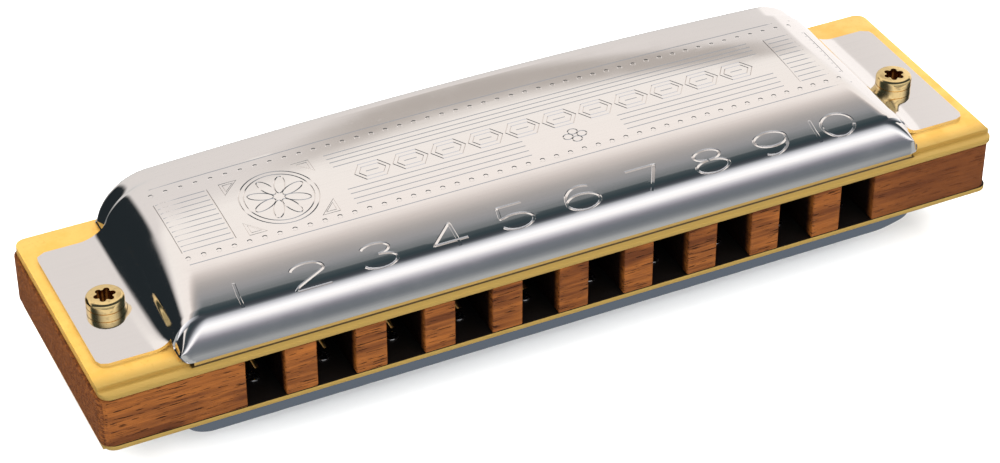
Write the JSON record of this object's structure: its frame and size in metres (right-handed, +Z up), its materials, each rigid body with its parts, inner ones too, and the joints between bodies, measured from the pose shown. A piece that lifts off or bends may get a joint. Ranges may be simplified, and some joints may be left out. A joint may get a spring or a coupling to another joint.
{
  "type": "diatonic harmonica",
  "caption": "Small mouth organ with a wooden comb between brass reed plates, swinging reeds and pressed steel covers open at the back.",
  "frame": {"origin": "middle of the comb, which is the middle of the bounding box", "axes": "+X along the holes towards hole 10, -Y out of the mouth holes, +Z up through the numbered cover"},
  "size_m": [0.1014, 0.0274, 0.02],
  "materials": {
    "comb_wood": "reddish brown hardwood with fine dark pores, thin satin lacquer",
    "plate_brass": "rolled brass, satin, slightly mottled",
    "cover_steel": "polished stainless steel, fine brushing along the roof",
    "screw_brass": "turned and polished brass",
    "plate_screw_steel": "plain steel screws",
    "reed_brass": "thin spring brass with file marks",
    "rivet_steel": "plain steel rivets"
  },
  "bodies": {
    "body": {"comb": "comb_wood", "top_reed_plate": "plate_brass", "bottom_reed_plate": "plate_brass", "top_cover": "cover_steel", "bottom_cover": "cover_steel", "cover_screw_left": "screw_brass", "cover_screw_right": "screw_brass", "cover_nut_left": "screw_brass", "cover_nut_right": "screw_brass", "reed_plate_screws": "plate_screw_steel", "blow_reed_pads": "reed_brass", "blow_rivets": "rivet_steel", "draw_reed_pads": "reed_brass", "draw_rivets": "rivet_steel"},
    "blow_reed_1": {"blow_reed_1": "reed_brass"},
    "blow_reed_2": {"blow_reed_2": "reed_brass"},
    "blow_reed_3": {"blow_reed_3": "reed_brass"},
    "blow_reed_4": {"blow_reed_4": "reed_brass"},
    "blow_reed_5": {"blow_reed_5": "reed_brass"},
    "blow_reed_6": {"blow_reed_6": "reed_brass"},
    "blow_reed_7": {"blow_reed_7": "reed_brass"},
    "blow_reed_8": {"blow_reed_8": "reed_brass"},
    "blow_reed_9": {"blow_reed_9": "reed_brass"},
    "blow_reed_10": {"blow_reed_10": "reed_brass"},
    "draw_reed_1": {"draw_reed_1": "reed_brass"},
    "draw_reed_2": {"draw_reed_2": "reed_brass"},
    "draw_reed_3": {"draw_reed_3": "reed_brass"},
    "draw_reed_4": {"draw_reed_4": "reed_brass"},
    "draw_reed_5": {"draw_reed_5": "reed_brass"},
    "draw_reed_6": {"draw_reed_6": "reed_brass"},
    "draw_reed_7": {"draw_reed_7": "reed_brass"},
    "draw_reed_8": {"draw_reed_8": "reed_brass"},
    "draw_reed_9": {"draw_reed_9": "reed_brass"},
    "draw_reed_10": {"draw_reed_10": "reed_brass"}
  },
  "joints": [
    {"name": "blow_reed_1_swing", "type": "hinge", "parent": "body", "child": "blow_reed_1", "pos_m": [-0.03375, -0.0081, 0.00272], "axis": [1, 0, 0], "range_deg": [-3.58, 3.58], "stiffness_Nm_per_rad": 0.02875},
    {"name": "blow_reed_2_swing", "type": "hinge", "parent": "body", "child": "blow_reed_2", "pos_m": [-0.02625, -0.0081, 0.00272], "axis": [1, 0, 0], "range_deg": [-3.73, 3.73], "stiffness_Nm_per_rad": 0.02934},
    {"name": "blow_reed_3_swing", "type": "hinge", "parent": "body", "child": "blow_reed_3", "pos_m": [-0.01875, -0.0081, 0.00272], "axis": [1, 0, 0], "range_deg": [-3.88, 3.88], "stiffness_Nm_per_rad": 0.02997},
    {"name": "blow_reed_4_swing", "type": "hinge", "parent": "body", "child": "blow_reed_4", "pos_m": [-0.01125, -0.0081, 0.00272], "axis": [1, 0, 0], "range_deg": [-4.05, 4.05], "stiffness_Nm_per_rad": 0.03066},
    {"name": "blow_reed_5_swing", "type": "hinge", "parent": "body", "child": "blow_reed_5", "pos_m": [-0.00375, -0.0081, 0.00272], "axis": [1, 0, 0], "range_deg": [-4.24, 4.24], "stiffness_Nm_per_rad": 0.03141},
    {"name": "blow_reed_6_swing", "type": "hinge", "parent": "body", "child": "blow_reed_6", "pos_m": [0.00375, -0.0081, 0.00272], "axis": [1, 0, 0], "range_deg": [-4.45, 4.45], "stiffness_Nm_per_rad": 0.03224},
    {"name": "blow_reed_7_swing", "type": "hinge", "parent": "body", "child": "blow_reed_7", "pos_m": [0.01125, -0.0081, 0.00272], "axis": [1, 0, 0], "range_deg": [-4.67, 4.67], "stiffness_Nm_per_rad": 0.03315},
    {"name": "blow_reed_8_swing", "type": "hinge", "parent": "body", "child": "blow_reed_8", "pos_m": [0.01875, -0.0081, 0.00272], "axis": [1, 0, 0], "range_deg": [-4.92, 4.92], "stiffness_Nm_per_rad": 0.03416},
    {"name": "blow_reed_9_swing", "type": "hinge", "parent": "body", "child": "blow_reed_9", "pos_m": [0.02625, -0.0081, 0.00272], "axis": [1, 0, 0], "range_deg": [-5.2, 5.2], "stiffness_Nm_per_rad": 0.03528},
    {"name": "blow_reed_10_swing", "type": "hinge", "parent": "body", "child": "blow_reed_10", "pos_m": [0.03375, -0.0081, 0.00272], "axis": [1, 0, 0], "range_deg": [-5.51, 5.51], "stiffness_Nm_per_rad": 0.03654},
    {"name": "draw_reed_1_swing", "type": "hinge", "parent": "body", "child": "draw_reed_1", "pos_m": [-0.03375, -0.0081, -0.00398], "axis": [1, 0, 0], "range_deg": [-3.58, 3.58], "stiffness_Nm_per_rad": 0.02875},
    {"name": "draw_reed_2_swing", "type": "hinge", "parent": "body", "child": "draw_reed_2", "pos_m": [-0.02625, -0.0081, -0.00398], "axis": [1, 0, 0], "range_deg": [-3.73, 3.73], "stiffness_Nm_per_rad": 0.02934},
    {"name": "draw_reed_3_swing", "type": "hinge", "parent": "body", "child": "draw_reed_3", "pos_m": [-0.01875, -0.0081, -0.00398], "axis": [1, 0, 0], "range_deg": [-3.88, 3.88], "stiffness_Nm_per_rad": 0.02997},
    {"name": "draw_reed_4_swing", "type": "hinge", "parent": "body", "child": "draw_reed_4", "pos_m": [-0.01125, -0.0081, -0.00398], "axis": [1, 0, 0], "range_deg": [-4.05, 4.05], "stiffness_Nm_per_rad": 0.03066},
    {"name": "draw_reed_5_swing", "type": "hinge", "parent": "body", "child": "draw_reed_5", "pos_m": [-0.00375, -0.0081, -0.00398], "axis": [1, 0, 0], "range_deg": [-4.24, 4.24], "stiffness_Nm_per_rad": 0.03141},
    {"name": "draw_reed_6_swing", "type": "hinge", "parent": "body", "child": "draw_reed_6", "pos_m": [0.00375, -0.0081, -0.00398], "axis": [1, 0, 0], "range_deg": [-4.45, 4.45], "stiffness_Nm_per_rad": 0.03224},
    {"name": "draw_reed_7_swing", "type": "hinge", "parent": "body", "child": "draw_reed_7", "pos_m": [0.01125, -0.0081, -0.00398], "axis": [1, 0, 0], "range_deg": [-4.67, 4.67], "stiffness_Nm_per_rad": 0.03315},
    {"name": "draw_reed_8_swing", "type": "hinge", "parent": "body", "child": "draw_reed_8", "pos_m": [0.01875, -0.0081, -0.00398], "axis": [1, 0, 0], "range_deg": [-4.92, 4.92], "stiffness_Nm_per_rad": 0.03416},
    {"name": "draw_reed_9_swing", "type": "hinge", "parent": "body", "child": "draw_reed_9", "pos_m": [0.02625, -0.0081, -0.00398], "axis": [1, 0, 0], "range_deg": [-5.2, 5.2], "stiffness_Nm_per_rad": 0.03528},
    {"name": "draw_reed_10_swing", "type": "hinge", "parent": "body", "child": "draw_reed_10", "pos_m": [0.03375, -0.0081, -0.00398], "axis": [1, 0, 0], "range_deg": [-5.51, 5.51], "stiffness_Nm_per_rad": 0.03654}
  ]
}
